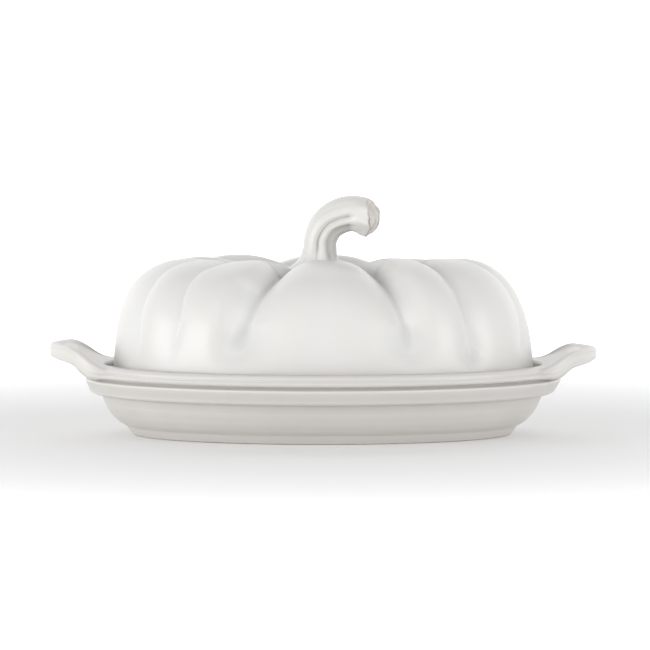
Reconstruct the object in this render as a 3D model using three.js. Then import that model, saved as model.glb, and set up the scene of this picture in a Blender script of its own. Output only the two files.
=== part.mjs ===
// Covered butter dish in glazed stoneware: an oval dish with two lug handles,
// a pumpkin-shaped lid that sits inside the dish's raised lip, and a curled
// stem on the lid that serves as its knob.
//
// Millimetres, +Z up. The origin is the centre of the foot ring's underside,
// X runs from lug to lug and -Y is the front.

import * as THREE from "three";

const DEG = Math.PI / 180;

// ---- dish -----------------------------------------------------------------
const OVAL_DIFF = 26.8; // long semi-axis minus short semi-axis, the same on every dish ring
const RIM_A = 94.6; // long semi-axis of the upper rim band
const RIM_TOP_Z = 28.2; // lip height above the table
const BAND_Z = 23.5; // groove between the two rim bands
const LEDGE_Z = 20.5; // seat for the lid
const LEDGE_OUT_A = 86.3; // lip's inner wall
const LEDGE_IN_A = 79.2; // where the seat drops into the well
const FLOOR_Z = 6.2; // butter bed
const FOOT_RECESS_Z = 1.6; // hollow inside the foot ring
const FOOT_SHIFT = -0.5; // the foot and belly sit a little towards the high lug

// ---- lugs -----------------------------------------------------------------
const LUG_REACH = 108; // centre to lug tip
const LUG_ROOT_X = 86; // where the lug's outline is widest
const LUG_HALF_WIDTH = 28;
const LUG_POINT = 1.5; // 1 is an oval outline; higher runs in straighter towards the tip
const LUG_FILLET = 2.4; // blend between lug outline and rim, in plan
const LUG_RISE_LEFT = 8; // top of the lug tip above the lip
const LUG_RISE_RIGHT = 6.5;
const LUG_HOLLOW = 0.75; // dip of the lug's top between its edge and the lip
// Underside of each lug: distance from the centre and height.
const UNDER_LEFT = [[80, 23.5], [91.8, 23.5], [93.4, 24.4], [96.2, 26.5], [97.7, 28.5], [99.5, 29.1], [101.2, 29.45], [106.1, 30.2], [112, 30.7]];
const UNDER_RIGHT = [[80, 23.5], [92.2, 23.5], [93.4, 24.0], [95.1, 25.1], [96.8, 26.8], [98.8, 27.7], [104.4, 28.5], [107, 29.2], [112, 29.6]];

// ---- lid ------------------------------------------------------------------
const LID_BASE_Z = 20.8; // underside of the lid, 0.3 above the seat
const LID_A = 82.9; // long semi-axis of the lid's wall
const LID_B = 56.2;
const LID_SKIRT_Z = 26.9; // top of the plain skirt, where the wall starts to curve
const LID_CREST_Z = 69.3; // height of the lobes
const CREST_A = 53.5; // oval ring that joins the highest points of the lobes
const CREST_B = 17;
const CROWN_DIP = 5.6; // drop from the crest down to the stem's root
const WALL = 4.8; // lid wall thickness
const BOSS_R = 7.6; // round seat of the stem
const BOSS_X = -1.3;
const BOSS_TOP_Z = 67.4; // 0.3 below the stem
const RIGHT_LEAN = 1.3; // how much leaner the shoulder is under the stem's curl

// Grooves between the lobes: eccentric angle at each of these heights up the wall, depth on the wall,
// depth at the crest, and the height where the groove is fully cut.
const HEIGHTS = [0.1, 0.5, 0.8, 0.94, 1.0];
const GROOVES = [
  [20.0, 18.0, 17.0, 16.0, 14.0, 2.8, 2.6, 0.34],
  [43.5, 43.0, 41.0, 37.0, 32.0, 3.6, 3.0, 0.34],
  [66.0, 66.2, 66.6, 66.8, 66.5, 6.0, 4.6, 0.46],
  [114.0, 113.6, 113.2, 112.4, 111.5, 6.0, 4.6, 0.46],
  [136.0, 136.3, 139.0, 142.0, 146.0, 3.6, 2.8, 0.34],
  [154.5, 156.8, 158.0, 160.5, 164.0, 2.8, 2.6, 0.34],
  [207.2, 205.6, 204.8, 202.0, 199.0, 1.3, 1.0, 0.4],
  [223.6, 225.4, 223.0, 223.0, 225.5, 1.8, 1.2, 0.4],
  [245.8, 247.0, 249.6, 251.6, 252.5, 7.8, 7.2, 0.5],
  [294.3, 294.3, 292.4, 291.4, 290.8, 7.0, 7.0, 0.5],
  [315.4, 315.0, 315.8, 315.0, 314.5, 3.2, 2.2, 0.2],
  [342.0, 348.5, 350.0, 349.0, 348.0, 1.5, 1.2, 0.3],
];
// Lobe i lies between groove i and the next: how much it stands above the crest, and how full its two sides are.
const LOBES = [
  [-0.6, 2.4, 2.4],
  [-1.0, 2.4, 1.9],
  [0.3, 2.6, 2.6],
  [0.7, 2.4, 1.8],
  [0.2, 2.2, 2.4],
  [0.0, 2.4, 2.4],
  [0.0, 2.4, 2.4],
  [0.2, 2.8, 1.4],
  [0.4, 3.1, 3.1],
  [1.1, 1.8, 2.8],
  [0.5, 3.2, 2.4],
  [0.0, 2.4, 2.4],
];

// ---- stem -----------------------------------------------------------------
const STEM_GAP = 0.3;
// Centreline: x, y, z and radius.
const STEM_LINE = [
  [-1.3, 0, 67.7, 6.55],
  [-1.3, 0, 69.6, 6.55],
  [-1.3, 0, 72.2, 6.55],
  [-1.3, 0, 75.4, 6.55],
  [-0.85, 0, 77.7, 6.5],
  [0.1, 0, 80.2, 6.65],
  [1.6, 0, 82.7, 6.8],
  [3.6, 0, 84.5, 6.9],
  [5.9, -0.05, 85.85, 7.0],
  [8.5, -0.25, 86.8, 7.05],
  [11.2, -0.75, 87.2, 7.05],
  [14.1, -1.4, 87.0, 7.1],
  [16.9, -2.2, 86.4, 7.2],
  [19.6, -3.0, 85.7, 7.2],
];
const STEM_NECK = 3; // the straight root ends at this entry
const ROOT_FLARE = [3.15, 1.63, 0.6, 0.1]; // swelling of the root's first rings on the outer side

const lerp = (a, b, t) => a + (b - a) * t;
const smooth = (lo, hi, x) => {
  const t = Math.min(1, Math.max(0, (x - lo) / (hi - lo)));
  return t * t * (3 - 2 * t);
};
const softMax = (a, b, k) => (a + b + Math.sqrt((a - b) ** 2 + k * k)) / 2;

// A closed surface laid over a lathe's grid: place(angle, j) gives ring j's point at that angle.
// The first and last rings lie on the axis, and the angles run counter-clockwise seen from above.
function ringSolid(rings, angles, place) {
  const profile = Array.from({ length: rings }, (_, j) => new THREE.Vector2(1, j));
  const geometry = new THREE.LatheGeometry(profile, angles.length);
  const position = geometry.getAttribute("position");
  for (let i = 0; i <= angles.length; i++) {
    for (let j = 0; j < rings; j++) {
      const [x, y, z] = place(angles[i % angles.length], j);
      position.setXYZ(i * rings + j, x, y, z);
    }
  }
  geometry.computeVertexNormals();
  return geometry;
}

// Distance from the centre to an oval at a polar angle.
function ovalRadius(a, b, phi) {
  return 1 / Math.hypot(Math.cos(phi) / a, Math.sin(phi) / b);
}
const dishRadius = (a, phi) => ovalRadius(a, a - OVAL_DIFF, phi);

// Outline of the upper rim band with its two lugs.
function rimRadius(phi) {
  const rim = dishRadius(RIM_A, phi);
  const ray = Math.atan2(Math.abs(Math.sin(phi)), Math.abs(Math.cos(phi)));
  if (ray > Math.atan2(LUG_HALF_WIDTH, LUG_ROOT_X)) return rim;
  const at = (u) => [LUG_ROOT_X + (LUG_REACH - LUG_ROOT_X) * Math.cos(u), LUG_HALF_WIDTH * Math.sin(u) ** LUG_POINT];
  let lo = 0;
  let hi = Math.PI / 2;
  for (let i = 0; i < 40; i++) {
    const mid = (lo + hi) / 2;
    const [x, y] = at(mid);
    if (Math.atan2(y, x) < ray) lo = mid;
    else hi = mid;
  }
  const lug = Math.hypot(...at(lo));
  return lug < rim - 6 ? rim : softMax(rim, lug, LUG_FILLET * smooth(5, 1, Math.abs(rim - lug)));
}

function alongTable(table, x) {
  const k = Math.max(1, table.findIndex((row) => row[0] > x));
  const [x0, z0] = table[k - 1];
  const [x1, z1] = table[k];
  return lerp(z0, z1, Math.min(1, Math.max(0, (x - x0) / (x1 - x0))));
}

// The lip's top and the band's underside as the lug sweeps up and levels off.
const lugTop = (x) => RIM_TOP_Z + LUG_RISE_LEFT * smooth(84.8, 102, -x) + LUG_RISE_RIGHT * smooth(85.2, 101, x);
const lugUnder = (x) => (Math.abs(x) < 90 ? BAND_Z : alongTable(x < 0 ? UNDER_LEFT : UNDER_RIGHT, Math.abs(x)));

// Dish rings from the underside's centre round to the bed's centre: long semi-axis and height.
const DISH_LOW = [
  [0, FOOT_RECESS_Z],
  [66.8, FOOT_RECESS_Z],
  [68.9, 0],
  [74.2, 0],
  [75.4, 1.0],
  [76.5, 2.5],
  [77.6, 3.7],
  [80.4, 5.4],
  [83.2, 8.3],
  [85.2, 11.4],
  [87.1, 15.9],
  [89.8, 16.2],
  [91.4, 17.0],
  [92.5, 19.0],
  [93.9, 21.8],
  [93.6, 22.5],
  [91.9, 22.9],
  [91.8, BAND_Z + 0.1],
];
const DISH_HIGH = [
  [LEDGE_OUT_A + 0.5, null],
  [LEDGE_OUT_A, RIM_TOP_Z - 1.6],
  [LEDGE_OUT_A - 0.5, LEDGE_Z],
  [LEDGE_IN_A + 0.2, LEDGE_Z],
  [LEDGE_IN_A - 0.7, LEDGE_Z - 1.7],
  [77.7, 15.6],
  [76.5, 11.7],
  [73.4, 8.1],
  [66.0, FLOOR_Z],
  [0, FLOOR_Z],
];
// Rings of the upper band and lug between those two lists: share of the way out, side, distance from the edge.
const BAND = [
  { side: "under", share: 0.4 },
  { side: "under", share: 0.75 },
  { side: "under", edge: 1.6, lift: 0.1 },
  { side: "under", edge: 0.3, lift: 1.0 },
  { side: "top", edge: 0.0, lift: -1.7 },
  { side: "top", edge: 0.45, lift: -0.45 },
  { side: "top", edge: 1.6, lift: 0.0 },
  { side: "top", share: 0.78 },
  { side: "top", share: 0.5 },
  { side: "top", share: 0.25 },
];

function dishPoint(phi, j) {
  const c = Math.cos(phi);
  const s = Math.sin(phi);
  if (j < DISH_LOW.length) {
    const [a, z] = DISH_LOW[j];
    const r = a === 0 ? 0 : dishRadius(a, phi);
    return [r * c + FOOT_SHIFT * smooth(22, 14, z), r * s, z];
  }
  const k = j - DISH_LOW.length;
  const rOut = rimRadius(phi);
  if (k < BAND.length) {
    const b = BAND[k];
    const under = b.side === "under";
    const inner = dishRadius(under ? 91.8 : LEDGE_OUT_A + 0.5, phi);
    const r = b.share === undefined ? rOut - b.edge : lerp(inner, rOut - 1.6, b.share);
    const x = r * c;
    if (under) return [x, r * s, lugUnder(x) + (b.lift || 0.1)];
    const on = b.share === undefined ? 0 : smooth(87, 97, Math.abs(x)) * (1 - smooth(0.55, 1, 1 - b.share)) * smooth(0, 0.22, 1 - b.share);
    return [x, r * s, lugTop(x) + (b.lift || 0) - LUG_HOLLOW * on];
  }
  const [a, z] = DISH_HIGH[k - BAND.length];
  const r = a === 0 ? 0 : dishRadius(a, phi);
  return [r * c, r * s, z === null ? lugTop(r * c) - 0.4 : z];
}

// Angles: close together where the lug's outline turns, wider along the plain rim.
const quarter = [0, 4, 8, 11, 13.5, 15.5, 17, 18.5, 20.5, 24, 29, 35, 42, 50, 59, 69, 79];
const dishAngles = [];
for (const q of quarter) dishAngles.push(q);
dishAngles.push(90);
for (const q of [...quarter].reverse()) dishAngles.push(180 - q);
for (const q of quarter.slice(1)) dishAngles.push(180 + q);
dishAngles.push(270);
for (const q of [...quarter].reverse().slice(0, -1)) dishAngles.push(360 - q);

const dishRings = DISH_LOW.length + BAND.length + DISH_HIGH.length;
const dish = new THREE.Mesh(
  ringSolid(dishRings, dishAngles.map((d) => d * DEG), dishPoint),
  new THREE.MeshStandardMaterial({ color: 0xefeeea, roughness: 0.14, metalness: 0 }),
);
dish.name = "dish";

// ---- lid shell --------------------------------------------------------------

// The lobed surface without its grooves: wall from 0 (skirt) to 1 (crest), crown from 1 to 2 (stem's root).
function lidEnvelope(v, inset) {
  const a0 = LID_A - inset;
  const b0 = LID_B - inset;
  const ca = CREST_A - inset * 0.35;
  const cb = CREST_B - inset * 0.35;
  const top = LID_CREST_Z - inset;
  if (v <= 1) {
    const angle = (v * Math.PI) / 2;
    const h = Math.sin(angle) ** (2 / 3);
    const w = Math.cos(angle) - 0.03 * Math.sin(Math.PI * Math.min(h / 0.85, 1));
    return { a: lerp(ca, a0, w), b: lerp(cb, b0, w), z: lerp(LID_SKIRT_Z, top, h), h, x: 0, rho: 1 };
  }
  const rho = 2 - v;
  return {
    a: lerp(BOSS_R, ca, rho),
    b: lerp(BOSS_R, cb, rho),
    z: top - CROWN_DIP * (1 - rho * rho) ** 2,
    h: 1,
    x: BOSS_X * (1 - rho),
    rho,
  };
}

// The angle of a groove at a height, in degrees.
function grooveAngle(i, h) {
  const n = GROOVES.length;
  const row = GROOVES[i % n];
  let k = 1;
  while (k < HEIGHTS.length - 1 && h > HEIGHTS[k]) k++;
  const f = Math.min(1, Math.max(0, (h - HEIGHTS[k - 1]) / (HEIGHTS[k] - HEIGHTS[k - 1])));
  return lerp(row[k - 1], row[k], f) + (i >= n ? 360 : 0);
}

// A line up the lid stays at one share of the way across its lobe, from -1 to 1.
function lobeAngle({ lobe, across }, h) {
  return lerp(grooveAngle(lobe, h), grooveAngle(lobe + 1, h), (across + 1) / 2) * DEG;
}

function lidSurface(line, v, inset) {
  const e = lidEnvelope(v, inset);
  const f = lidEnvelope(Math.min(v + 1e-3, v <= 1 ? 1 : 2), inset);
  const g = lidEnvelope(Math.max(v - 1e-3, 0), inset);
  const dr = (f.a + f.b - g.a - g.b) / 2;
  const dz = f.z - g.z;
  const len = Math.hypot(dr, dz);
  const t = lobeAngle(line, e.h);
  const from = GROOVES[line.lobe];
  const to = GROOVES[(line.lobe + 1) % GROOVES.length];
  const [tall, fullFrom, fullTo] = LOBES[line.lobe];
  const side = smooth(-0.8, 0.8, line.across);
  const soft = lerp(0.34, 0.09, smooth(0.05, 0.55, e.h));
  const power = softMax(lerp(fullFrom, fullTo, side), 2.7 * smooth(0.72, 0.97, e.h), 0.1);
  const q = 1 - Math.abs(line.across) ** power;
  const floor = soft / Math.sqrt(1 + soft ** 2);
  const into = (1 - Math.sqrt((q * q + soft ** 2) / (1 + soft ** 2))) / (1 - floor);
  const wall = lerp(from[5], to[5], side);
  const crest = lerp(from[6], to[6], side);
  const share = inset > 0 ? 0.75 : 1;
  const depth = lerp(wall, crest, smooth(0.7, 1, e.h)) * smooth(0.02, lerp(from[7], to[7], side), e.h) * share;
  const rise = tall * (1 - into) * smooth(0.45, 1, e.h) * e.rho;
  if (v > 1) {
    const z = e.z - depth * into * e.rho ** 2 + rise;
    return [e.x + e.a * Math.cos(t), e.b * Math.sin(t), z];
  }
  const nx = e.b * Math.cos(t);
  const ny = e.a * Math.sin(t);
  const n = Math.hypot(nx, ny);
  const out = (-depth * into * dz) / len;
  const up = (depth * into * dr) / len;
  const lean = RIGHT_LEAN * smooth(0.2, 0.8, e.h) * smooth(1, 0.86, e.h) * smooth(0, 1, Math.cos(t));
  return [e.a * Math.cos(t) + (nx / n) * out - lean, e.b * Math.sin(t) + (ny / n) * out, e.z + up + rise];
}

const LID_RINGS = [
  { axis: LID_CREST_Z - WALL - CROWN_DIP },
  { v: 1.7, inset: WALL },
  { v: 1.35, inset: WALL },
  { v: 1, inset: WALL },
  { v: 0.84, inset: WALL },
  { v: 0.68, inset: WALL },
  { v: 0.52, inset: WALL },
  { v: 0.37, inset: WALL },
  { v: 0.22, inset: WALL },
  { v: 0.09, inset: WALL },
  { v: 0, inset: WALL },
  { base: WALL, lift: 0.9 },
  { base: WALL - 1.2, lift: 0 },
  { base: 0.9, lift: 0 },
  { base: 0, lift: 1.2 },
  { v: 0, inset: 0 },
  { v: 0.06, inset: 0 },
  { v: 0.14, inset: 0 },
  { v: 0.23, inset: 0 },
  { v: 0.33, inset: 0 },
  { v: 0.44, inset: 0 },
  { v: 0.56, inset: 0 },
  { v: 0.68, inset: 0 },
  { v: 0.79, inset: 0 },
  { v: 0.9, inset: 0 },
  { v: 1, inset: 0 },
  { v: 1.14, inset: 0 },
  { v: 1.32, inset: 0 },
  { v: 1.54, inset: 0 },
  { v: 1.76, inset: 0 },
  { v: 1.9, inset: 0 },
  { v: 2, inset: 0 },
  { axis: BOSS_TOP_Z },
];

// The root swells up to the stem's seat, more so on the stem's outer side.
function rootZ(x, y, z) {
  const d = Math.max(Math.hypot(x - BOSS_X, y) - 6.55, 0);
  const outer = -(x - BOSS_X) / Math.max(Math.hypot(x - BOSS_X, y), 1e-6);
  const q = d / (10 * (0.62 + 0.38 * outer)) + 0.02;
  return Math.min(softMax(z, 63.7 - 3 * Math.log(q) - (q - 1), 1.1), BOSS_TOP_Z);
}

function lidPoint(line, j) {
  const ring = LID_RINGS[j];
  if (ring.axis !== undefined) return [BOSS_X, 0, ring.axis];
  if (ring.base !== undefined) {
    const t = lobeAngle(line, 0);
    return [(LID_A - ring.base) * Math.cos(t), (LID_B - ring.base) * Math.sin(t), LID_BASE_Z + ring.lift];
  }
  const p = lidSurface(line, ring.v, ring.inset);
  if (ring.inset === 0 && ring.v > 1) p[2] = rootZ(...p);
  return p;
}

// Each lobe is sampled at its two grooves, its ridge and its flanks.
const lidLines = [];
GROOVES.forEach((row, lobe) => {
  const wide = grooveAngle(lobe + 1, 0.5) - row[1] > 30;
  const steps = wide ? [-1, -0.9, -0.74, -0.5, -0.18, 0.18, 0.5, 0.74, 0.9] : [-1, -0.84, -0.5, 0, 0.5, 0.84];
  for (const across of steps) lidLines.push({ lobe, across });
});

const lidShell = new THREE.Mesh(
  ringSolid(LID_RINGS.length, lidLines, lidPoint),
  new THREE.MeshStandardMaterial({ color: 0xf1f0ed, roughness: 0.14, metalness: 0 }),
);
lidShell.name = "lid_shell";

// ---- stem -------------------------------------------------------------------

// Fluted section: two deep flutes on each face, at these angles from the outer side of the curl, with width and depth.
const FLUTES = [
  [80, 10, 1.5],
  [119, 11, 1.6],
  [151, 9, 0.5],
  [209, 9, 0.5],
  [241, 11, 1.6],
  [280, 10, 1.5],
];
// Ridges round the cut end, and how far the end stands out or back along the stem at each angle.
const CORNERS = [[10, 18, 0.3], [64, 15, 0.6], [112, 14, 0.9], [178, 15, 1.45], [236, 16, 0.9], [300, 16, 0.3]];
const AXIAL = [[0, -3.5], [38, -2.9], [72, -0.8], [98, 0.5], [122, 1.6], [150, 0.5], [180, -1], [212, 0.5], [255, 1.1], [290, 0.4], [325, -2], [361, -3.5]];
// The end closes over these shares of its radius, each lifted by its second number.
const END_RINGS = [[0.95, 0.28], [0.82, 0.05], [0.5, 0.6]];

const half = [0, 18, 36, 52, 66, 73, 80, 87, 99, 110, 119, 129, 141, 151, 166];
const stemAngles = [...half, 180, ...half.slice(1).reverse().map((d) => 360 - d)];

const turned = (d, at) => ((d - at + 540) % 360) - 180;
const bumps = (list, d) => list.reduce((sum, [at, width, size]) => sum + size * Math.exp(-((turned(d, at) / width) ** 2)), 0);

const stemCurve = new THREE.CatmullRomCurve3(
  STEM_LINE.map(([x, y, z]) => new THREE.Vector3(x, y, z)),
  false,
  "centripetal",
);
const stemRings = STEM_LINE.length;
const stemLengths = STEM_LINE.map(([x, y, z], k) => {
  let length = 0;
  for (let i = STEM_NECK + 1; i <= k; i++) {
    length += Math.hypot(...[0, 1, 2].map((c) => STEM_LINE[i][c] - STEM_LINE[i - 1][c]));
  }
  return length;
});

function stemPoint(deg, j) {
  const last = stemRings - 1;
  const k = Math.min(last, Math.max(0, j - 1));
  const [x, y, z, r] = STEM_LINE[k];
  const centre = new THREE.Vector3(x, y, z);
  if (j === 0) return centre.toArray();
  const share = stemLengths[k] / stemLengths[last];
  const tangent = k <= STEM_NECK ? new THREE.Vector3(0, 0, 1) : stemCurve.getTangent(k / last);
  if (j > stemRings + END_RINGS.length) return centre.addScaledVector(tangent, 1).toArray();
  const e2 = new THREE.Vector3(0, -1, 0).addScaledVector(tangent, tangent.y).normalize();
  const e1 = new THREE.Vector3().crossVectors(e2, tangent);
  // the flutes wind towards the inner side of the curl
  const sine = Math.sin(deg * DEG);
  const angle = (deg + 20 * smooth(0.02, 0.62, share) * Math.sign(sine) * smooth(0, 0.25, Math.abs(sine)) * (1 - smooth(0.62, 0.9, share))) * DEG;
  const at = (angle / DEG + 360) % 360;
  const cut = bumps(FLUTES, deg) * (1 - smooth(0.62, 0.84, share));
  const flare = k < ROOT_FLARE.length ? ROOT_FLARE[k] * (0.62 + 0.38 * Math.cos(angle)) : 0;
  const corner = (bumps(CORNERS, at) - 0.5) * smooth(0.7, 0.98, share);
  const i = AXIAL.findIndex(([a]) => a > at);
  const step = lerp(AXIAL[i - 1][1], AXIAL[i][1], smooth(AXIAL[i - 1][0], AXIAL[i][0], at)) * smooth(0.72, 1, share);
  const [shrink, lift] = j > stemRings ? END_RINGS[j - stemRings - 1] : [1, 0];
  const rr = (r - cut + flare + corner) * shrink;
  return centre
    .addScaledVector(e1, rr * Math.cos(angle))
    .addScaledVector(e2, rr * Math.sin(angle))
    .addScaledVector(tangent, lift + step * shrink ** 1.6)
    .toArray();
}

const lidStem = new THREE.Mesh(
  ringSolid(
    stemRings + END_RINGS.length + 2,
    stemAngles,
    stemPoint,
  ),
  new THREE.MeshStandardMaterial({ color: 0xf1f0ed, roughness: 0.14, metalness: 0 }),
);
lidStem.name = "lid_stem";

// ---- assembly ---------------------------------------------------------------
const lid = new THREE.Group();
lid.add(lidShell, lidStem);

const butterDish = new THREE.Group();
butterDish.add(dish, lid);

export default butterDish;
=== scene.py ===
# Looks for the covered butter dish: a glazed oval dish, and a pumpkin-shaped lid with a curled, fluted stem.
from math import cos, pi, radians, sin

import bpy
import numpy as np
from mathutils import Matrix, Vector


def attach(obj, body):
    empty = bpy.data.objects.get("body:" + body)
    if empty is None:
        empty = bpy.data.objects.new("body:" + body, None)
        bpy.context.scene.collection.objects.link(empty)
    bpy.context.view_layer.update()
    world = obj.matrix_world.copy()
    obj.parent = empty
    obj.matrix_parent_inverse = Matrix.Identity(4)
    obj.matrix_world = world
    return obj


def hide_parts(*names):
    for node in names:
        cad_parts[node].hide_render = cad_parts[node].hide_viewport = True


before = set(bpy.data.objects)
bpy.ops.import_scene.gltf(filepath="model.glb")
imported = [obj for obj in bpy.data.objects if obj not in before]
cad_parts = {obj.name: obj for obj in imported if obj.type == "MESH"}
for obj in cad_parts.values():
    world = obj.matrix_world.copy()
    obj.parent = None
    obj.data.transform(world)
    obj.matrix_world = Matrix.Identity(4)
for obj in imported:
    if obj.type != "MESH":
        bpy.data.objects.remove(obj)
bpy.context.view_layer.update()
scene = bpy.context.scene


# ------------------------------------------------------------------ small helpers, all lengths in millimetres
def smooth(lo, hi, x):
    t = np.clip((x - lo) / (hi - lo), 0, 1)
    return t * t * (3 - 2 * t)


def lerp(a, b, t):
    return a + (b - a) * t


def softmax(a, b, k):
    return (a + b + np.sqrt((a - b) ** 2 + k * k)) / 2


def unit(v):
    return v / np.maximum(np.linalg.norm(v, axis=-1, keepdims=True), 1e-12)


def turn(d, at):
    """Signed angle in degrees from at to d."""
    return (d - at + 180) % 360 - 180


# ------------------------------------------------------------------ lid
LID_BASE_Z = 20.8     # flat seat that stands on the dish's ledge
LID_A = 82.9          # half length over the lobes, at the skirt
LID_B = 56.2          # half depth over the lobes, at the skirt
SKIRT_Z = 26.9        # the wall is plain below this
CREST_Z = 69.3        # ridge of the lobes
CREST_A = 53.5        # half length of the ridge line
CREST_B = 17.0
DIP = 5.6             # how far the crown sinks from the ridge to the stem
WALL = 4.8
STEM_X = -1.3
STEM_R = 6.55
STEM_Z = 75.4         # ring where the stem leaves the flared root
ROOT_Z = 63.7
RIGHT_LEAN = 1.3
SPLIT_Z = 67.6        # where the stem stands on the lid
NECK_RINGS = 16       # rings from there to the straight part of the stem

# Eccentric angle of each groove at these heights up the wall, its depth on the wall and at the ridge, and the height where it is fully cut
HEIGHTS = np.array([0.10, 0.50, 0.80, 0.94, 1.0])
GROOVES = np.array([
    [20.0, 18.0, 17.0, 16.0, 14.0, 2.8, 2.6, .34],
    [43.5, 43.0, 41.0, 37.0, 32.0, 3.6, 3.0, .34],
    [66.0, 66.2, 66.6, 66.8, 66.5, 6.0, 4.6, .46],
    [114.0, 113.6, 113.2, 112.4, 111.5, 6.0, 4.6, .46],
    [136.0, 136.3, 139.0, 142.0, 146.0, 3.6, 2.8, .34],
    [154.5, 156.8, 158.0, 160.5, 164.0, 2.8, 2.6, .34],
    [207.2, 205.6, 204.8, 202.0, 199.0, 1.3, 1.0, .40],
    [223.6, 225.4, 223.0, 223.0, 225.5, 1.8, 1.2, .40],
    [245.8, 247.0, 249.6, 251.6, 252.5, 7.8, 7.2, .50],
    [294.3, 294.3, 292.4, 291.4, 290.8, 7.0, 7.0, .50],
    [315.4, 315.0, 315.8, 315.0, 314.5, 3.2, 2.2, .20],
    [342.0, 348.5, 350.0, 349.0, 348.0, 1.5, 1.2, .30]])
# Each lobe starts at the groove of the same row
LOBE_RISE = np.array([-0.6, -1.0, 0.3, 0.7, 0.2, 0.0, 0.0, 0.2, 0.4, 1.1, 0.5, 0.0])
# How full the lobe is on its two sides: a low number falls away early
LOBE_FULL = np.array([[2.4, 2.4], [2.4, 1.9], [2.6, 2.6], [2.4, 1.8], [2.2, 2.4], [2.4, 2.4],
                      [2.4, 2.4], [2.8, 1.4], [3.1, 3.1], [1.8, 2.8], [3.2, 2.4], [2.4, 2.4]])


def lobe(t, h):
    """The grooves on either side of each eccentric angle at a height, how far across the lobe it is, and how deep into the groove."""
    g = np.array([np.interp(h, HEIGHTS, row[:5]) for row in GROOVES])
    d = np.degrees(t) % 360
    n = len(g)
    i = (np.searchsorted(g, d, side="right") - 1) % n
    lo = g[i]
    hi = np.where(i == n - 1, g[0] + 360, g[(i + 1) % n])
    d = np.where((i == n - 1) & (d < g[0]), d + 360, d)
    tau = (d - (lo + hi) / 2) / ((hi - lo) / 2)
    soft = lerp(0.34, 0.09, smooth(0.05, 0.55, h))
    side = smooth(-.8, .8, tau)
    q = 1 - np.abs(tau) ** softmax(lerp(LOBE_FULL[i, 0], LOBE_FULL[i, 1], side), 2.7 * smooth(.72, .97, h), .1)
    into = (1 - np.sqrt((q * q + soft ** 2) / (1 + soft ** 2))) / (1 - soft / np.sqrt(1 + soft ** 2))
    return i, (i + 1) % n, side, into


def envelope(v, inset):
    """Half length, half depth and height of the lid without its grooves; v is 0 at the skirt and 1 at the ridge."""
    a = v * pi / 2
    h = np.sin(a) ** (2 / 3)
    w = np.cos(a) - 0.03 * np.sin(pi * np.minimum(h / 0.85, 1))
    return (lerp(CREST_A - inset * .35, LID_A - inset, w), lerp(CREST_B - inset * .35, LID_B - inset, w),
            lerp(SKIRT_Z, CREST_Z - inset, h), h)


def wall_ring(t, v, inset=0.0, share=1.0):
    a, b, z, h = envelope(v, inset)
    e = 1e-3
    a1, b1, z1, _ = envelope(min(v + e, 1), inset)
    a0, b0, z0, _ = envelope(max(v - e, 0), inset)
    dr, dz = (a1 + b1 - a0 - b0) / 2, z1 - z0
    length = np.hypot(dr, dz)
    i, k, side, into = lobe(t, float(h))
    depth = lerp(lerp(GROOVES[i, 5], GROOVES[k, 5], side), lerp(GROOVES[i, 6], GROOVES[k, 6], side), smooth(0.7, 1, h))
    push = -depth * smooth(0.02, lerp(GROOVES[i, 7], GROOVES[k, 7], side), h) * share * into
    rise = LOBE_RISE[i] * (1 - into) * smooth(0.45, 1, h)
    ct, st = np.cos(t), np.sin(t)
    nx, ny = b * ct, a * st
    nl = np.hypot(nx, ny)
    out, up = push * dz / length, -push * dr / length
    # the end under the curl is a little leaner at the shoulder
    lean = RIGHT_LEAN * smooth(.2, .8, h) * smooth(1, .86, h) * smooth(0, 1, ct)
    return np.stack([a * ct + nx / nl * out - lean, b * st + ny / nl * out, z + up + rise], -1)


# Flutes of the stem: angle round it from the outer side of the curl, width and depth
FLUTES = [(80, 9, 1.7), (119, 11, 1.7), (151, 8, .5), (209, 8, .5), (241, 11, 1.7), (280, 9, 1.7), (34, 7, .2), (326, 7, .2)]


def flute(theta, turned=0.0):
    """Depth of the flutes at each angle; turned moves both sides' flutes towards the inner side of the curl, in degrees."""
    d = np.degrees(theta) % 360
    d = d - turned * np.sign(np.sin(theta)) * smooth(0, .25, np.abs(np.sin(theta)))
    c = np.zeros_like(d)
    for at, w, deep in FLUTES:
        c = c + deep * np.exp(-(turn(d, at) / w) ** 2)
    return c


def even(P, m, more, level):
    """Points evenly spaced down each column of P: m to where it last rises through the level, and more from there on."""
    seg = np.linalg.norm(np.diff(P, axis=0), axis=-1)
    s = np.concatenate([np.zeros((1, P.shape[1])), np.cumsum(seg, 0)])
    out = np.empty((m + more, P.shape[1], 3))
    for j in range(P.shape[1]):
        z = P[:, j, 2]
        k = np.nonzero(z < level)[0][-1]
        at = s[k, j] + (level - z[k]) / (z[k + 1] - z[k]) * (s[k + 1, j] - s[k, j])
        f = np.r_[np.linspace(0, at, m), np.linspace(at, s[-1, j], more + 1)[1:]]
        for c in range(3):
            out[:, j, c] = np.interp(f, s[:, j], P[:, j, c])
    return out


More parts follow.
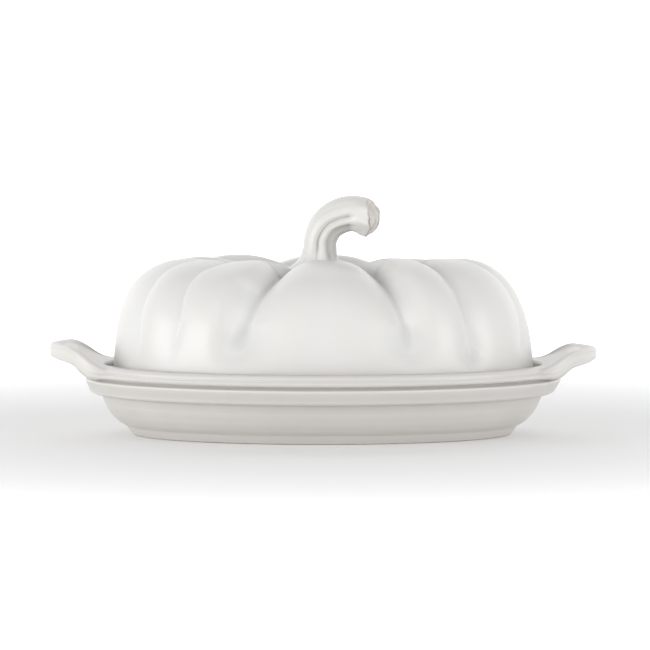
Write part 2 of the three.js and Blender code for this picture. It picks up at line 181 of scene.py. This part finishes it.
def crown(t, m):
    """From the ridge (row 0) to the stem's neck (last row)."""
    u = np.linspace(1, 0, 260)[:, None]
    rho = u ** 1.7
    tt = t[None, :]
    a, b, cx = lerp(STEM_R, CREST_A, rho), lerp(STEM_R, CREST_B, rho), STEM_X * (1 - rho)
    i, k, side, into = lobe(tt, 1.0)
    depth = lerp(GROOVES[i, 6], GROOVES[k, 6], side) * rho ** 2
    z = CREST_Z - DIP * (1 - rho ** 2) ** 2 - depth * into + LOBE_RISE[i] * (1 - into) * rho
    x, y = cx + a * np.cos(tt), b * np.sin(tt)
    r = np.hypot(x - STEM_X, y)
    d = np.maximum(r - STEM_R, 0)
    theta = tt - pi
    q = d / (10 * (0.62 + 0.38 * np.cos(theta))) + 0.02
    flare = ROOT_Z - 3.0 * np.log(q) - (q - 1)
    zz = softmax(z, flare, 1.1)
    zz = zz + (STEM_Z - zz[-1:]) * smooth(0.06, 0, d / 8)
    cut = flute(theta + 0 * x) * smooth(64.5, 70.5, zz)
    k = (r - cut) / r
    return even(np.stack([STEM_X + (x - STEM_X) * k, y * k, zz], -1), m, NECK_RINGS, SPLIT_Z)


# Centre line of the stem and its radius
LINE = np.array([
    [-1.3, 0, 75.4, 6.55], [-0.85, 0, 77.7, 6.5], [0.1, 0, 80.2, 6.65], [1.6, 0, 82.7, 6.8], [3.6, 0, 84.5, 6.9],
    [5.9, -0.05, 85.85, 7.0], [8.5, -0.25, 86.8, 7.05], [11.2, -0.75, 87.2, 7.05], [14.9, -1.6, 86.85, 7.15], [19.6, -3.0, 85.7, 7.2]])


def spline(P, n):
    """Centripetal spline through P, n points evenly spaced by length."""
    Q = np.vstack([2 * P[0] - P[1], P, 2 * P[-1] - P[-2]])
    Q[0, :3] = P[0, :3] - np.array([0, 0, 2.2])
    out = []
    for i in range(1, len(Q) - 2):
        p0, p1, p2, p3 = Q[i - 1:i + 3]
        t0 = 0
        t1 = t0 + np.linalg.norm((p1 - p0)[:3]) ** .5
        t2 = t1 + np.linalg.norm((p2 - p1)[:3]) ** .5
        t3 = t2 + np.linalg.norm((p3 - p2)[:3]) ** .5
        tt = np.linspace(t1, t2, 40)[:, None]
        A1 = (t1 - tt) / (t1 - t0) * p0 + (tt - t0) / (t1 - t0) * p1
        A2 = (t2 - tt) / (t2 - t1) * p1 + (tt - t1) / (t2 - t1) * p2
        A3 = (t3 - tt) / (t3 - t2) * p2 + (tt - t2) / (t3 - t2) * p3
        B1 = (t2 - tt) / (t2 - t0) * A1 + (tt - t0) / (t2 - t0) * A2
        B2 = (t3 - tt) / (t3 - t1) * A2 + (tt - t1) / (t3 - t1) * A3
        C = (t2 - tt) / (t2 - t1) * B1 + (tt - t1) / (t2 - t1) * B2
        out.append(C[:-1] if i < len(Q) - 3 else C)
    C = np.vstack(out)
    s = np.r_[0, np.cumsum(np.linalg.norm(np.diff(C[:, :3], axis=0), axis=1))]
    f = np.linspace(0, s[-1], n)
    return np.stack([np.interp(f, s, C[:, k]) for k in range(4)], 1), f / s[-1]


# Ridges round the cut end, and how far the end stands out or back along the stem at each angle
CORNERS = [(10, 18, .3), (64, 15, .6), (112, 14, .9), (178, 15, 1.45), (236, 16, .9), (300, 16, .3)]
AXIAL = np.array([[0, -3.5], [38, -2.9], [72, -.8], [98, .5], [122, 1.6], [150, .5], [180, -1.0], [212, .5], [255, 1.1], [290, .4], [325, -2.0], [360, -3.5]])


def round_the_end(d):
    d = d % 360
    a, v = AXIAL[:, 0], AXIAL[:, 1]
    k = np.clip(np.searchsorted(a, d, side="right") - 1, 0, len(a) - 2)
    return v[k] + (v[k + 1] - v[k]) * smooth(0, 1, (d - a[k]) / (a[k + 1] - a[k]))


def stem(t, m):
    C, s = spline(LINE, m)
    T = np.gradient(C[:, :3], axis=0)
    T[0] = [0, 0, 1]
    T = unit(T)
    e2 = np.tile([0., -1., 0.], (m, 1))
    e2 = unit(e2 - (e2 * T).sum(1, keepdims=True) * T)
    e1 = np.cross(e2, T)
    th = t - pi
    d = np.degrees(th) % 360
    end = sum(h * np.exp(-(turn(d, at) / w) ** 2) for at, w, h in CORNERS) - .5
    ss = s[:, None]
    cut = np.array([flute(th, 20 * smooth(.02, .62, x)) for x in s])
    rr = C[:, 3:4] - cut * (1 - smooth(.62, .84, ss)) + end[None] * smooth(.70, .98, ss)
    shift = round_the_end(d)[None] * smooth(.72, 1.0, ss)
    around = np.cos(th)[None, :, None] * e1[:, None] + np.sin(th)[None, :, None] * e2[:, None]
    P = C[:, None, :3] + rr[..., None] * around + shift[..., None] * T[:, None]
    rows, base, c0 = [], rr[-1], C[-1, :3]
    for f, lift in [(.99, .16), (.965, .27), (.93, .30), (.88, .20), (.82, .02), (.74, .06), (.64, .30), (.52, .55), (.40, .75), (.27, .9), (.14, .97), (.05, 1.0)]:
        lump = (.30 * np.sin(3 * th + 1.1) * 4 * (1 - f) + .18 * np.sin(5 * th + .4)) * f * (f < .8)
        rows.append(c0 + (base * f)[:, None] * around[-1] + (lift + lump + shift[-1] * f ** 1.6)[:, None] * T[-1])
    return np.concatenate([P, np.array(rows)]), c0 + T[-1]


def lid_angles(n):
    """Closer together near the grooves."""
    d = np.linspace(0, 360, 14401)[:-1]
    w = np.ones_like(d)
    for g in GROOVES[:, :5].ravel():
        w += .45 * np.exp(-(turn(d, g) / 2.5) ** 2)
    c = np.r_[0, np.cumsum(w)]
    return np.radians(np.interp(np.arange(n) / n * c[-1], c, np.r_[d, 360]))


def lid_rows(t):
    """Rings over the whole lid: the hollow from its top down, the seat, the wall, the crown and the stem's neck."""
    ct, st = np.cos(t), np.sin(t)

    def ring(a, b, z):
        return np.stack([a * ct, b * st, np.full(len(t), float(z))], 1)
    top = wall_ring(t, 1.0, WALL, .75)
    i, k, side, into = lobe(t, 1.0)
    groove = .75 * lerp(GROOVES[i, 6], GROOVES[k, 6], side) * into
    inside = []
    for u in np.linspace(.04, 1, 22)[:-1]:
        row = top * [u, u, 1]
        row[:, 2] = top[:, 2] + groove * (1 - u * u) - DIP * (1 - u * u) ** 2
        inside.append(row)
    for v in np.linspace(1, 0, 40):
        inside.append(wall_ring(t, v, WALL, .75))
    A, B = LID_A, LID_B
    for cut, z in ((WALL, 24.6), (WALL, 22.6), (WALL - .15, 21.9), (WALL - .55, 21.3), (WALL - 1.15, 20.92), (WALL - 1.8, LID_BASE_Z),
                   (1.5, LID_BASE_Z), (.95, 20.9), (.45, 21.2), (.12, 21.75), (0, 22.4), (-.05, 24.6)):
        inside.append(ring(A - cut, B - cut, z))
    outside = [wall_ring(t, v) for v in np.linspace(0, 1, 64)]
    return np.concatenate([np.array(inside), np.array(outside), crown(t, 44)[1:]])


# ------------------------------------------------------------------ dish
DIFF = 26.8           # half length minus half depth, the same at every level
RIM_A = 94.6
RIM_TOP = 28.2
BAND_Z = 23.5         # groove between the two bands
LEDGE_Z = 20.5
LIP_A = 86.3
LEDGE_IN = 79.2
FLOOR_Z = 6.2
RECESS_Z = 1.6
LUG_REACH = 108.0
LUG_X = 86.0
LUG_W = 28.0
LUG_SMOOTH = 2.6

# Profile from the middle of the underside out to the groove between the bands: half length, height, rounding
LOW = [(0, RECESS_Z, 0), (66.6, RECESS_Z, 1.6), (68.8, 0, .7), (74.6, 0, .9), (76.2, 1.9, 1.4), (77.2, 3.45, .25), (78.0, 3.9, .5), (80.7, 5.5, 1.6), (83.4, 8.3, 2.0),
       (85.3, 11.4, 1.6), (87.2, 16.1, .5), (89.8, 16.2, .7), (91.7, 17.0, 1.2), (92.7, 19.2, 1.0), (94.2, 22.2, .9), (91.9, 22.9, .3)]
FOOT_SHIFT = -.5      # the foot and belly sit a little towards the high lug
# And from the lip down over the ledge into the well
HIGH = [(LIP_A, RIM_TOP - 1.7, .0), (LIP_A - .5, LEDGE_Z + .1, .7), (LEDGE_IN + .2, LEDGE_Z, .8), (78.2, 17.6, 1.2), (76.6, 11.6, 2.4), (73.4, 7.8, 2.4), (66.0, FLOOR_Z, 4.0), (0, FLOOR_Z, 0)]


def oval(a, phi):
    return 1 / np.hypot(np.cos(phi) / a, np.sin(phi) / (a - DIFF))


def rim_outline(n):
    """Plan outline of the rim with its two lugs, and its outward normals."""
    u = np.linspace(0, pi / 2, 4001)
    l = LUG_REACH + .25 - LUG_X
    lug = np.stack([LUG_X + l * np.cos(u), LUG_W * np.sin(u) ** 1.5], 1)
    phi = np.linspace(0, pi / 2, 8001)
    r = oval(RIM_A, phi)
    rim = np.stack([r * np.cos(phi), r * np.sin(phi)], 1)
    inside = (lug[:, 0] / RIM_A) ** 2 + (lug[:, 1] / (RIM_A - DIFF)) ** 2
    k = np.argmax(inside < 1) if (inside < 1).any() else len(lug)
    a = lug[:k]
    b = rim[np.argmin(np.hypot(*(rim - a[-1]).T)):]
    q = np.vstack([a, b[1:]])
    q[-1, 0] = 0
    q[0, 1] = 0
    half = np.vstack([q, (q * [-1, 1])[::-1][1:]])
    full = np.vstack([half, (half * [1, -1])[::-1][1:-1]])
    s = np.r_[0, np.cumsum(np.linalg.norm(np.diff(np.vstack([full, full[:1]]), axis=0), axis=1))]
    N = 4096
    f = np.arange(N) / N * s[-1]
    F = np.stack([np.interp(f, s, np.r_[full[:, c], full[0, c]]) for c in (0, 1)], 1)
    h = s[-1] / N
    w = np.arange(-int(5 * LUG_SMOOTH / h), int(5 * LUG_SMOOTH / h) + 1) * h
    K = np.exp(-(w / LUG_SMOOTH) ** 2 / 2)
    K /= K.sum()
    pad = len(w) // 2
    S = np.stack([np.convolve(np.r_[F[-pad:, c], F[:, c], F[:pad, c]], K, "valid") for c in (0, 1)], 1)
    d1 = np.roll(S, -1, 0) - S
    kap = np.abs(np.gradient(np.unwrap(np.arctan2(d1[:, 1], d1[:, 0])))) / h
    wgt = 1 + 26 * kap + .9 * smooth(80, 90, np.abs(S[:, 0]))
    W = np.convolve(np.r_[wgt[-60:], wgt, wgt[:60]], np.ones(121) / 121, "valid")
    cum = np.r_[0, np.cumsum(W)]
    i = np.interp(np.arange(n) / n * cum[-1], cum, np.arange(N + 1))
    S2 = np.vstack([S, S[:1]])
    P = np.stack([np.interp(i, np.arange(N + 1), S2[:, c]) for c in (0, 1)], 1)
    ds = np.stack([np.gradient(np.r_[S2[-2, c], S2[:, c], S2[1, c]])[1:-1] for c in (0, 1)], 1)
    T = unit(np.stack([np.interp(i, np.arange(N + 1), ds[:, c]) for c in (0, 1)], 1))
    return P, np.stack([T[:, 1], -T[:, 0]], 1)


# Underside of each lug: distance from the middle and height
UNDER_L = np.array([(80, 23.5), (91.8, 23.5), (93.4, 24.4), (96.2, 26.5), (97.7, 28.5), (99.5, 29.1), (101.2, 29.45), (106.1, 30.2), (112, 30.7)])
UNDER_R = np.array([(80, 23.5), (92.2, 23.5), (93.4, 24.0), (95.1, 25.1), (96.8, 26.8), (98.8, 27.7), (104.4, 28.5), (107.0, 29.2), (112, 29.6)])


def eased(x, table, width=.55):
    """The table's line with its corners softened."""
    return sum(w * np.interp(x + k * width, table[:, 0], table[:, 1]) for k, w in zip((-2, -1, 0, 1, 2), (.06, .24, .4, .24, .06)))


def lug_top(x):
    return RIM_TOP + 8.0 * smooth(84.8, 102.0, -x) + 6.5 * smooth(85.2, 101.0, x) - .2 * smooth(60, 84, x)


def lug_under(x):
    return np.where(x < 0, eased(-x, UNDER_L), eased(x, UNDER_R))


def rounded(points):
    """Polyline through half length, height points, each corner rounded over its third number."""
    out = []
    for k, (a, z, r) in enumerate(points):
        p = np.array([a, z], float)
        if r == 0 or k in (0, len(points) - 1):
            out.append(p[None])
            continue
        d0, d1 = np.array(points[k - 1][:2]) - p, np.array(points[k + 1][:2]) - p
        l0, l1 = np.linalg.norm(d0), np.linalg.norm(d1)
        c = min(r, l0 * .49, l1 * .49)
        u = np.linspace(0, 1, 7)[:, None]
        out.append((1 - u) ** 2 * (p + d0 / l0 * c) + 2 * u * (1 - u) * p + u * u * (p + d1 / l1 * c))
    return np.vstack(out)


def dish_rows(n):
    P, N = rim_outline(n)
    phi = np.arctan2(P[:, 1], P[:, 0])
    c, s = np.cos(phi), np.sin(phi)
    rows = []

    def ring(a, z):
        r = oval(a, phi)
        rows.append(np.stack([r * c, r * s, np.full(n, float(z))], 1))

    def put(q, z):
        rows.append(np.column_stack([q, z]))
    for u in (.03, .12, .25, .4, .55, .7, .85):
        ring(66.5 * u if 66.5 * u > DIFF + 4 else DIFF + 4 + 66.5 * u * .05, RECESS_Z)
    for a, z in rounded(LOW)[1:]:
        ring(a, z)
    for row in rows:
        row[:, 0] += FOOT_SHIFT * smooth(22, 14, row[:, 2])
    inner = oval(91.7, phi)[:, None] * np.stack([c, s], 1)
    rho_b, rho_t = lerp(2.1, 1.3, smooth(92, 100, np.abs(P[:, 0]))), lerp(1.9, 1.15, smooth(92, 102, np.abs(P[:, 0])))
    width = ((P - inner) * N).sum(1)
    eb = np.minimum(rho_b, np.maximum(width * .92, .3))
    E = P - N * eb[:, None]
    for f in np.linspace(0, 1, 9)[1:]:
        q = lerp(inner, E, f)
        put(q, lug_under(q[:, 0]) + .1 * min(1, f * 3))
    for a in np.linspace(0, pi / 2, 7)[1:]:
        put(P - N * (eb * (1 - np.sin(a)))[:, None], lug_under(P[:, 0]) + .1 + rho_b * (1 - np.cos(a)))
    thick = lug_top(P[:, 0]) - lug_under(P[:, 0]) - .1
    rt = np.minimum(rho_t, (thick - rho_b) * .92)
    lo, hi = lug_under(P[:, 0]) + .1 + rho_b, lug_top(P[:, 0]) - rt
    for f in (.25, .5, .75):
        put(P + N * .12 * np.sin(pi * f), lerp(lo, hi, f))
    for a in np.linspace(0, pi / 2, 8):
        put(P - N * (rt * (1 - np.cos(a)))[:, None], lug_top(P[:, 0]) - rt * (1 - np.sin(a)))
    lip = oval(LIP_A + 1.3, phi)[:, None] * np.stack([c, s], 1)
    T0 = P - N * rt[:, None]
    for f in np.linspace(0, 1, 17)[1:]:
        q = lerp(T0, lip, f)
        on = smooth(87, 97, np.abs(q[:, 0]))
        hollow = .75 * on * smooth(0, .22, f) * (1 - smooth(.55, 1, f))
        put(q, lug_top(q[:, 0]) - hollow + .12 * np.sin(pi * f) * (1 - on))
    for a in np.linspace(0, pi / 2, 6)[1:]:
        r = oval(LIP_A + 1.3 * (1 - np.sin(a)), phi)
        rows.append(np.column_stack([r * c, r * s, lug_top(r * c) - 1.5 * (1 - np.cos(a))]))
    for a, z in rounded(HIGH)[1:-1]:
        ring(a, z)
    for u in (.85, .7, .55, .4, .25, .12, .03):
        ring(66.0 * u if 66.0 * u > DIFF + 4 else DIFF + 4 + 66.0 * u * .05, FLOOR_Z)
    return np.array(rows)


# ------------------------------------------------------------------ meshes
def quads(m, n, start=0):
    i, j = np.arange(n), np.arange(m - 1)[:, None]
    A, B = j * n + i, j * n + (i + 1) % n
    return (np.stack([A, B, B + n, A + n], -1).reshape(-1, 4) + start)


def smooth_normals(rows, first=None, last=None):
    """Vertex normals of a grid, from both directions across it."""
    across = np.roll(rows, -1, 1) - np.roll(rows, 1, 1)
    up = np.empty_like(rows)
    up[1:-1] = rows[2:] - rows[:-2]
    up[0] = rows[1] - (rows[0] if first is None else first)
    up[-1] = (rows[-1] if last is None else last) - rows[-2]
    return unit(np.cross(across, up))


def relief(rows, reach=3):
    """How far each point stands out from the points around it, in millimetres: above 0 on an edge and below it in a groove."""
    flat = rows.copy()
    for _ in range(reach):
        side = (np.roll(flat, 1, 1) + np.roll(flat, -1, 1)) / 2
        along = flat.copy()
        along[1:-1] = (flat[2:] + flat[:-2]) / 2
        flat = (side + along) / 2
    return ((rows - flat) * smooth_normals(rows)).sum(-1)


def piece(name, rows, first, last, normals, material, sharp_first=False, sharp_last=False, **marks):
    """A closed mesh over rings of points; first and last close its two ends."""
    m, n, _ = rows.shape
    V = np.vstack([rows.reshape(-1, 3), [first], [last]]) * .001
    Q = quads(m, n)
    i = np.arange(n)
    k, b = m * n, (m - 1) * n
    start = np.stack([(i + 1) % n, i, np.full(n, k)], 1)
    end = np.stack([b + i, b + (i + 1) % n, np.full(n, k + 1)], 1)
    mesh = bpy.data.meshes.new(name)
    mesh.vertices.add(len(V))
    mesh.vertices.foreach_set("co", V.astype(np.float32).ravel())
    loops = np.concatenate([Q.ravel(), start.ravel(), end.ravel()])
    mesh.loops.add(len(loops))
    mesh.loops.foreach_set("vertex_index", loops.astype(np.int32))
    mesh.polygons.add(len(Q) + 2 * n)
    starts = np.concatenate([np.arange(len(Q)) * 4, len(Q) * 4 + np.arange(2 * n) * 3])
    mesh.polygons.foreach_set("loop_start", starts.astype(np.int32))
    mesh.update(calc_edges=True)
    mesh.polygons.foreach_set("use_smooth", np.ones(len(mesh.polygons), bool))
    N = np.vstack([normals.reshape(-1, 3), unit(np.cross(rows[0, n // 4] - first, rows[0, 0] - first))[None],
                   unit(np.cross(rows[-1, 0] - last, rows[-1, n // 4] - last))[None]])
    LN = N[loops]
    q4 = len(Q) * 4
    if sharp_first:
        LN[q4:q4 + 3 * n] = N[k]
    if sharp_last:
        LN[q4 + 3 * n:] = N[k + 1]
    mesh.normals_split_custom_set(LN.astype(np.float32))
    mesh.validate()
    for mark, value in marks.items():
        a = mesh.attributes.new(mark, "FLOAT", "POINT")
        a.data.foreach_set("value", np.r_[value.ravel(), value[0, 0], value[-1, 0]].astype(np.float32))
    ob = bpy.data.objects.new(name, mesh)
    scene.collection.objects.link(ob)
    mesh.materials.append(material)
    return ob


# ------------------------------------------------------------------ glaze
class Nodes:
    def __init__(self, name):
        self.mat = bpy.data.materials.new(name)
        self.mat.use_nodes = True
        self.t = self.mat.node_tree
        self.t.nodes.clear()

    def node(self, kind, **values):
        n = self.t.nodes.new(kind)
        for k, v in values.items():
            if k in n.inputs:
                self.give(n.inputs[k], v)
            else:
                setattr(n, k, v)
        return n

    def give(self, socket, v):
        if isinstance(v, bpy.types.NodeSocket):
            self.t.links.new(v, socket)
        else:
            socket.default_value = v

    def maths(self, operation, a, b=0.0, clamp=False):
        n = self.t.nodes.new("ShaderNodeMath")
        n.operation = operation
        n.use_clamp = clamp
        self.give(n.inputs[0], a)
        self.give(n.inputs[1], b)
        return n.outputs[0]

    def span(self, v, lo, hi, a=0.0, b=1.0):
        n = self.t.nodes.new("ShaderNodeMapRange")
        n.interpolation_type = "SMOOTHSTEP"
        for s, x in zip(n.inputs, (v, lo, hi, a, b)):
            self.give(s, x)
        return n.outputs[0]

    def mix(self, factor, a, b, blend="MIX"):
        n = self.t.nodes.new("ShaderNodeMix")
        n.data_type = "RGBA"
        n.blend_type = blend
        n.clamp_factor = True
        self.give(n.inputs[0], factor)
        self.give(n.inputs[6], a)
        self.give(n.inputs[7], b)
        return n.outputs[2]

    def noise(self, place, scale, detail=2.0, rough=.5):
        return self.node("ShaderNodeTexNoise", Vector=place, Scale=scale, Detail=detail, Roughness=rough).outputs["Fac"]


GLOSS = .36           # roughness of the glaze


def glaze(name, tint, thin_glaze_and_edge_highlight, groove_shade_tint, foot=None, edges=.55, stalk=None):
    """White glaze over stoneware: over edges a colour that is the lid's thinner glaze but a painted highlight on the
    dish, painted shade in grooves, and a faint ripple.
    stalk has the stem's colours: its skin, a little darker than the lid as painted shade, painted shade in its flutes
    and on the inner side of the curl, the cut end painted darker as painted shade over a patchy mottle, and a brown
    line round that end, deepened by painted shade on the inner side."""
    s = Nodes(name)
    at = s.node("ShaderNodeTexCoord").outputs["Object"]
    standing = s.node("ShaderNodeAttribute", attribute_name="standing").outputs["Fac"]
    cloud = s.noise(at, 22, 3, .55)
    colour = s.mix(s.span(cloud, .3, .7), (*[c * .985 for c in tint], 1), (*[min(c * 1.012, 1) for c in tint], 1))
    # over edges: on the lid a darker, warmer thin glaze; on the dish a lighter colour, a painted highlight
    edge = s.span(standing, .006, .06)
    colour = s.mix(s.maths("MULTIPLY", edge, edges, True), colour, (*thin_glaze_and_edge_highlight, 1))
    # grooves are painted darker: painted shade
    groove, deep, groove_shade_colour = s.span(standing, -.006, -.07), .6, (*groove_shade_tint, 1)
    # on the stem the skin is painted a little darker than the lid and its flutes much darker: painted shade
    if stalk is not None:
        up = s.node("ShaderNodeSeparateXYZ", Vector=at).outputs[2]
        high = s.span(up, .0685, .0765)
        colour = s.mix(high, colour, (*stalk[0], 1))
        groove_shade_colour = s.mix(high, groove_shade_colour, (*stalk[1], 1))
        deep = s.span(up, .0685, .0765, .6, .95)
    colour = s.mix(s.maths("MULTIPLY", groove, deep, True), colour, groove_shade_colour)
    # on the stem: painted shade on the inner side of the curl, the cut end painted darker (painted shade over a patchy
    # mottle), and a brown line round that end, deepened on the inner side by painted shade
    if stalk is not None:
        for mark, share, c in zip(("inner", "cut", "line"), (.85, .95, 1.0), stalk[2:]):
            m = s.node("ShaderNodeAttribute", attribute_name=mark).outputs["Fac"]
            patchy = s.span(s.noise(at, 420, 3, .6), .3, .62, .55, 1) if mark != "inner" else 1.0
            colour = s.mix(s.maths("MULTIPLY", s.maths("MULTIPLY", m, patchy), share, True), colour, (*c, 1))
    height = s.maths("ADD", s.maths("MULTIPLY", s.noise(at, 60, 1, .4), .00010), s.maths("MULTIPLY", s.noise(at, 650, 2, .5), .000006))
    rough = GLOSS
    if foot is not None:
        z = s.node("ShaderNodeSeparateXYZ", Vector=at).outputs[2]
        wander = s.maths("MULTIPLY", s.maths("SUBTRACT", s.noise(at, 90, 2), .5), .0005)
        bare = s.span(s.maths("ADD", z, wander), .00040, .00022)
        grain = s.noise(at, 1400, 3, .7)
        clay = s.mix(s.span(grain, .3, .7), (.62, .57, .50, 1), (.72, .67, .60, 1))
        colour = s.mix(bare, colour, clay)
        rough = s.maths("ADD", s.maths("MULTIPLY", bare, .82 - GLOSS), GLOSS)
        height = s.maths("ADD", height, s.maths("MULTIPLY", s.maths("MULTIPLY", grain, bare), .00004))
    bump = s.node("ShaderNodeBump", Strength=1.0, Distance=1.0, Height=height)
    p = s.node("ShaderNodeBsdfPrincipled")
    s.give(p.inputs["Base Color"], colour)
    s.give(p.inputs["Roughness"], rough)
    s.give(p.inputs["Normal"], bump.outputs[0])
    p.inputs["IOR"].default_value = 1.52
    out = s.node("ShaderNodeOutputMaterial")
    s.t.links.new(p.outputs[0], out.inputs[0])
    return s.mat


def srgb(*c):
    return tuple(((x + .055) / 1.055) ** 2.4 if x > .04045 else x / 12.92 for x in c)


# the dish's tint is set darker than the lid's though the glaze is the same white: painted shade
LID_TINT, DISH_TINT_SHADED = srgb(.880, .879, .874), srgb(.790, .780, .764)
# the stem's skin, a little darker than the lid as painted shade; painted shade for the flutes and the inner side of the
# curl; the cut end painted darker as painted shade; a brown line round that end
STALK = srgb(.850, .846, .832), srgb(.72, .705, .68), srgb(.70, .688, .668), srgb(.735, .715, .69), srgb(.46, .425, .385)
lid_glaze = glaze("lid_glaze", LID_TINT, srgb(.864, .857, .842), srgb(.860, .857, .848), stalk=STALK)
# the dish's edge colour is lighter than the dish itself: a painted highlight on its rim and band edges
dish_glaze = glaze("dish_glaze", DISH_TINT_SHADED, srgb(.855, .846, .830), srgb(.765, .752, .734), foot=True, edges=.8)

# ------------------------------------------------------------------ pieces
t = lid_angles(360)
L = lid_rows(t)
S, tip = stem(t, 72)
whole = np.concatenate([L, S[1:]])
N, R = smooth_normals(whole, first=whole[0].mean(0), last=tip), relief(whole)
neck = len(L) - NECK_RINGS
# the spacing of the rings changes at two places, which the relief would take for a groove
for at in (neck, len(L)):
    for k in range(at - 5, at + 5):
        R[k] = lerp(R[at - 6], R[at + 5], (k - at + 6) / 11)
# painted shade on the inner side of the curl and on the cut end, and the dark line round that end, deepened on the
# inner side by painted shade
r, d = np.hypot(L[..., 0] - STEM_X, L[..., 1]), np.abs(turn(np.degrees(t - pi) % 360, 0))
side = smooth(104, 138, d)[None]
along = np.linspace(0, 1, 72)[:, None]
inner = np.concatenate([smooth(8.6, 6.9, r) * smooth(67, 70.5, L[..., 2]) * side, (smooth(.80, .60, along) * smooth(lerp(104, 112, along), lerp(138, 146, along), d[None]))[1:], np.zeros((12, len(t)))])
cut, line = np.zeros_like(inner), np.zeros_like(inner)
cut[-12:] = np.array([.2, .5, .8] + [1] * 9)[:, None]
line[-14:-8] = np.array([.15, .7, 1, .9, .45, .1])[:, None] * lerp(.35, 1, smooth(60, 100, d))
foot, seat = whole[neck - 1].mean(0), whole[neck - 1].mean(0) - [0, 0, 1.2]
lid = piece("lid_shell_glazed", whole[:neck], whole[0].mean(0), seat, N[:neck], lid_glaze, sharp_last=True,
            standing=R[:neck], inner=inner[:neck], cut=cut[:neck], line=line[:neck])
knob = piece("lid_stem_glazed", whole[neck - 1:], foot, tip, N[neck - 1:], lid_glaze, sharp_first=True,
             standing=R[neck - 1:], inner=inner[neck - 1:], cut=cut[neck - 1:], line=line[neck - 1:])
D = dish_rows(512)
dish = piece("dish_glazed", D, D[0].mean(0), D[-1].mean(0), smooth_normals(D, first=D[0].mean(0), last=D[-1].mean(0)), dish_glaze, standing=relief(D))

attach(dish, "dish")
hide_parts("dish")
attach(lid, "lid")
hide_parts("lid_shell")
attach(knob, "lid")
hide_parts("lid_stem")

# ------------------------------------------------------------------ floor, light and camera
# brightness of the tent, and what each direction adds to it: axis, sign, gain
TENT_BASE = .91
TENT = [(0, -1.0, -.06), (0, 1.0, -.09), (1, -1.0, .02), (1, 1.0, .05), (2, 1.0, -.50)]
floor_mat = Nodes("studio_floor")
p = floor_mat.node("ShaderNodeBsdfPrincipled")
p.inputs["Base Color"].default_value = (.86, .86, .86, 1)
p.inputs["Roughness"].default_value = .9
p.inputs["Specular IOR Level"].default_value = .1
away = floor_mat.node("ShaderNodeVectorMath", operation="LENGTH", Vector=floor_mat.node("ShaderNodeTexCoord").outputs["Object"]).outputs["Value"]
p.inputs["Emission Color"].default_value = (1, 1, 1, 1)
floor_mat.give(p.inputs["Emission Strength"], floor_mat.span(away, .12, .5, .10, .62))
floor_mat.t.links.new(p.outputs[0], floor_mat.node("ShaderNodeOutputMaterial").inputs[0])
# the floor runs level behind the object, then curves up into a wall
profile = [(-6, 0), (2.5, 0)] + [(2.5 + 1.5 * sin(a), 1.5 - 1.5 * cos(a)) for a in np.linspace(.05, pi / 2, 16)] + [(4, 6)]
verts = [(x, y, z - .0002) for y, z in profile for x in (-6, 6)]
mesh = bpy.data.meshes.new("studio_floor")
mesh.from_pydata(verts, [], [(2 * i, 2 * i + 1, 2 * i + 3, 2 * i + 2) for i in range(len(profile) - 1)])
mesh.polygons.foreach_set("use_smooth", [True] * len(mesh.polygons))
mesh.materials.append(floor_mat.mat)
floor = bpy.data.objects.new("studio_floor", mesh)
scene.collection.objects.link(floor)


def area(name, place, aim, size, power, colour=(1, 1, 1)):
    data = bpy.data.lights.new(name, "AREA")
    data.shape = "RECTANGLE"
    data.size, data.size_y = size
    data.energy = power
    data.color = colour
    ob = bpy.data.objects.new(name, data)
    ob.location = place
    ob.rotation_euler = (Vector(aim) - Vector(place)).to_track_quat("-Z", "Y").to_euler()
    scene.collection.objects.link(ob)
    return ob


area("key_light", (-1.7, -1.0, .34), (0, 0, .04), (1.7, .8), 19)
area("fill_light", (1.6, -1.1, .5), (0, 0, .04), (1.3, .9), 12)
# a white tent: brightest on the left, dimmer on the right, dimmest behind the camera
world = bpy.data.worlds.new("studio")
world.use_nodes = True
w = world.node_tree
w.nodes.clear()


def world_maths(operation, a, b):
    n = w.nodes.new("ShaderNodeMath")
    n.operation = operation
    for socket, v in zip(n.inputs, (a, b)):
        if isinstance(v, bpy.types.NodeSocket):
            w.links.new(v, socket)
        else:
            socket.default_value = v
    return n.outputs[0]


split = w.nodes.new("ShaderNodeSeparateXYZ")
w.links.new(w.nodes.new("ShaderNodeTexCoord").outputs["Generated"], split.inputs[0])
total = TENT_BASE
for axis, sign, gain in TENT:
    total = world_maths("ADD", total, world_maths("MULTIPLY", world_maths("MAXIMUM", world_maths("MULTIPLY", split.outputs[axis], sign), 0.0), gain))
shade = w.nodes.new("ShaderNodeBackground")
w.links.new(total, shade.inputs[1])
shade.inputs[0].default_value = (1, 1, 1, 1)
w.links.new(shade.outputs[0], w.nodes.new("ShaderNodeOutputWorld").inputs[0])
scene.world = world
scene.view_settings.view_transform = "Standard"
scene.view_settings.look = "None"

cam = bpy.data.cameras.new("camera")
camera = bpy.data.objects.new("camera", cam)
scene.collection.objects.link(camera)
ELEVATION, DISTANCE, TARGET = radians(4.3), 2.75, Vector((.0007, 0, .043))
back = Vector((0, -cos(ELEVATION), sin(ELEVATION)))
camera.location = TARGET + back * DISTANCE
camera.rotation_mode = "QUATERNION"
camera.rotation_quaternion = (-back).to_track_quat("-Z", "Y")
cam.sensor_width = 36
cam.lens = 36 * DISTANCE / (650 * .000395)
cam.clip_start, cam.clip_end = .05, 60
cam.dof.use_dof = False
scene.camera = camera
